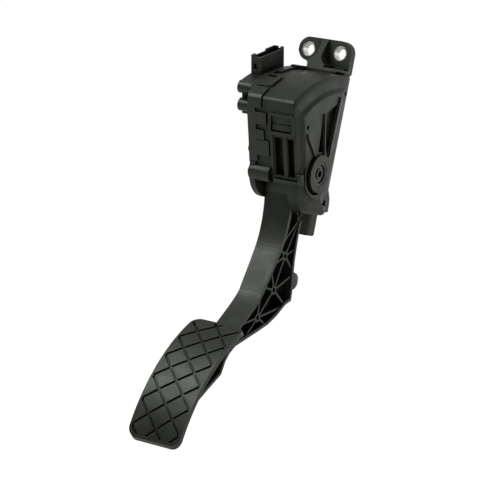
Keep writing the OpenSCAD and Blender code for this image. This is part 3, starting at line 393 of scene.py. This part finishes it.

# return springs, wound from round wire; their front end stands on the seat
coils = {
    "outer_coil": {"node": "outer_spring", "radius": 7.6, "wire": 2, "turns": 6.5},
    "inner_coil": {"node": "inner_spring", "radius": 4.9, "wire": 1.4, "turns": 8.5},
}
springRun = {
    "seat": (4.7, -74.165, -57.51),
    "length": 31.94,
    "lean": math.radians(70),
    "still": 2,
    "carried": 28,
    "wireSides": 14,
    "stepsPerTurn": 28,
}
springSeat = Vector(springRun["seat"]) * mm
for name, coil in coils.items():
    bpy.ops.object.select_all(action="DESELECT")
    bpy.ops.mesh.primitive_circle_add(vertices=springRun["wireSides"], radius=coil["wire"] / 2 * mm,
                                      fill_type="NOTHING", location=(coil["radius"] * mm, 0, coil["wire"] / 2 * mm),
                                      rotation=(math.pi / 2, 0, 0))
    wound = bpy.context.object
    wound.name = name
    bpy.ops.object.transform_apply(location=True, rotation=True, scale=True)
    screw = wound.modifiers.new("screw", "SCREW")
    screw.axis = "Z"
    screw.angle = -2 * math.pi * coil["turns"]
    screw.screw_offset = (springRun["length"] - coil["wire"]) * mm
    screw.steps = int(springRun["stepsPerTurn"] * coil["turns"])
    screw.render_steps = screw.steps
    bpy.ops.object.modifier_apply(modifier="screw")
    bpy.ops.object.mode_set(mode="EDIT")
    bpy.ops.mesh.select_all(action="SELECT")
    bpy.ops.mesh.fill_holes(sides=0)
    bpy.ops.mesh.normals_make_consistent(inside=False)
    bpy.ops.object.mode_set(mode="OBJECT")
    wound.rotation_euler = (-springRun["lean"], 0, 0)
    wound.location = springSeat
    bpy.ops.object.transform_apply(location=True, rotation=True, scale=True)
    bpy.ops.object.shade_smooth_by_angle(angle=smoothBelow)
    wound.data.materials.clear()
    wound.data.materials.append(finishes["spring_steel"])
    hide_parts(coil["node"])
    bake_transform(wound)
print("springs wound:", len(coils))

# the floor looks white but keeps the pedal's shadow, and is clear from below; it runs back past what the camera sees
groundPlane = {"size": 6, "middle": 2.2, "below": 0.25, "colour": "f4f4f2", "glow": 0.68}
boxLow, boxHigh = cadBox
whiteFloor = newMaterial("paleFloor")
seen = addNode(whiteFloor, "ShaderNodeLightPath")
lit = addNode(whiteFloor, "ShaderNodeBsdfDiffuse", {"Color": linear(groundPlane["colour"])})
lift = addNode(whiteFloor, "ShaderNodeMath", {"operation": "MULTIPLY", 1: groundPlane["glow"]},
               {0: seen.outputs["Is Camera Ray"]})
glow = addNode(whiteFloor, "ShaderNodeEmission", {"Color": (1, 1, 1, 1)}, {"Strength": lift.outputs[0]})
both = addNode(whiteFloor, "ShaderNodeAddShader", {}, {0: lit.outputs[0], 1: glow.outputs[0]})
clear = addNode(whiteFloor, "ShaderNodeBsdfTransparent")
side = addNode(whiteFloor, "ShaderNodeNewGeometry")
oneWay = addNode(whiteFloor, "ShaderNodeMixShader", {},
                 {0: side.outputs["Backfacing"], 1: both.outputs[0], 2: clear.outputs[0]})
finishMaterial(whiteFloor, oneWay)
bpy.ops.object.select_all(action="DESELECT")
bpy.ops.mesh.primitive_plane_add(size=groundPlane["size"],
                                 location=(0, groundPlane["middle"], boxLow.z - groundPlane["below"]))
floor = bpy.context.object
floor.name = "floor"
bpy.ops.object.transform_apply(location=True, rotation=True, scale=True)
floor.data.materials.append(whiteFloor)

# an even room lights the pedal, and the camera sees white all round; what shines mirrors a white sweep behind the
# pedal (+Y) and a dim studio in front of it and overhead
studio = {"room": 0.4, "sweepY": (-0.35, 0.2), "frontLight": 0.16, "overheadZ": (0.15, 0.55), "overheadLight": 0.45}
world = bpy.data.worlds.new("studio")
bpy.context.scene.world = world
world.use_nodes = True
world.node_tree.nodes.clear()
path = addNode(world, "ShaderNodeLightPath")
way = addNode(world, "ShaderNodeTexCoord")
split = addNode(world, "ShaderNodeSeparateXYZ", {}, {"Vector": way.outputs["Generated"]})
behind = addNode(world, "ShaderNodeMapRange",
                 {"From Min": studio["sweepY"][0], "From Max": studio["sweepY"][1],
                  "To Min": studio["frontLight"], "To Max": 1}, {"Value": split.outputs["Y"]})
above = addNode(world, "ShaderNodeMapRange",
                {"From Min": studio["overheadZ"][0], "From Max": studio["overheadZ"][1],
                 "To Min": 1, "To Max": studio["overheadLight"]}, {"Value": split.outputs["Z"]})
sweep = addNode(world, "ShaderNodeMath", {"operation": "MULTIPLY"},
                {0: behind.outputs["Result"], 1: above.outputs["Result"]})
room = addNode(world, "ShaderNodeBackground", {"Color": (1, 1, 1, 1), "Strength": studio["room"]})
white = addNode(world, "ShaderNodeMath", {"operation": "MAXIMUM"},
                {0: sweep.outputs[0], 1: path.outputs["Is Camera Ray"]})
backdrop = addNode(world, "ShaderNodeBackground", {"Color": (1, 1, 1, 1)}, {"Strength": white.outputs[0]})
mirrored = addNode(world, "ShaderNodeMath", {"operation": "MAXIMUM"},
                   {0: path.outputs["Is Glossy Ray"], 1: path.outputs["Is Transmission Ray"]})
eye = addNode(world, "ShaderNodeMath", {"operation": "MAXIMUM"},
              {0: path.outputs["Is Camera Ray"], 1: mirrored.outputs[0]})
shown = addNode(world, "ShaderNodeMixShader", {}, {0: eye.outputs[0], 1: room.outputs[0], 2: backdrop.outputs[0]})
worldOut = addNode(world, "ShaderNodeOutputWorld")
world.node_tree.links.new(shown.outputs[0], worldOut.inputs["Surface"])

lamps = {
    "topSoftbox": {"place": (-0.35, -0.5, 0.4), "size": 0.5, "power": 2.8},
    "rightSoftbox": {"place": (1.0, -0.7, -0.3), "size": 0.5, "power": 2.5},
    "leftSoftbox": {"place": (-1.1, -0.35, 0.25), "size": 0.5, "power": 2.0},
}
aim = (boxLow + boxHigh) / 2
for name, lamp in lamps.items():
    data = bpy.data.lights.new(name, "AREA")
    data.shape = "DISK"
    data.size = lamp["size"]
    data.energy = lamp["power"]
    lampObject = bpy.data.objects.new(name, data)
    bpy.context.scene.collection.objects.link(lampObject)
    lampObject.visible_camera = False
    lampObject.location = lamp["place"]
    lampObject.rotation_mode = "QUATERNION"
    lampObject.rotation_quaternion = (aim - Vector(lamp["place"])).to_track_quat("-Z", "Y")
bpy.context.scene.view_settings.view_transform = "Standard"
print("stage lit")
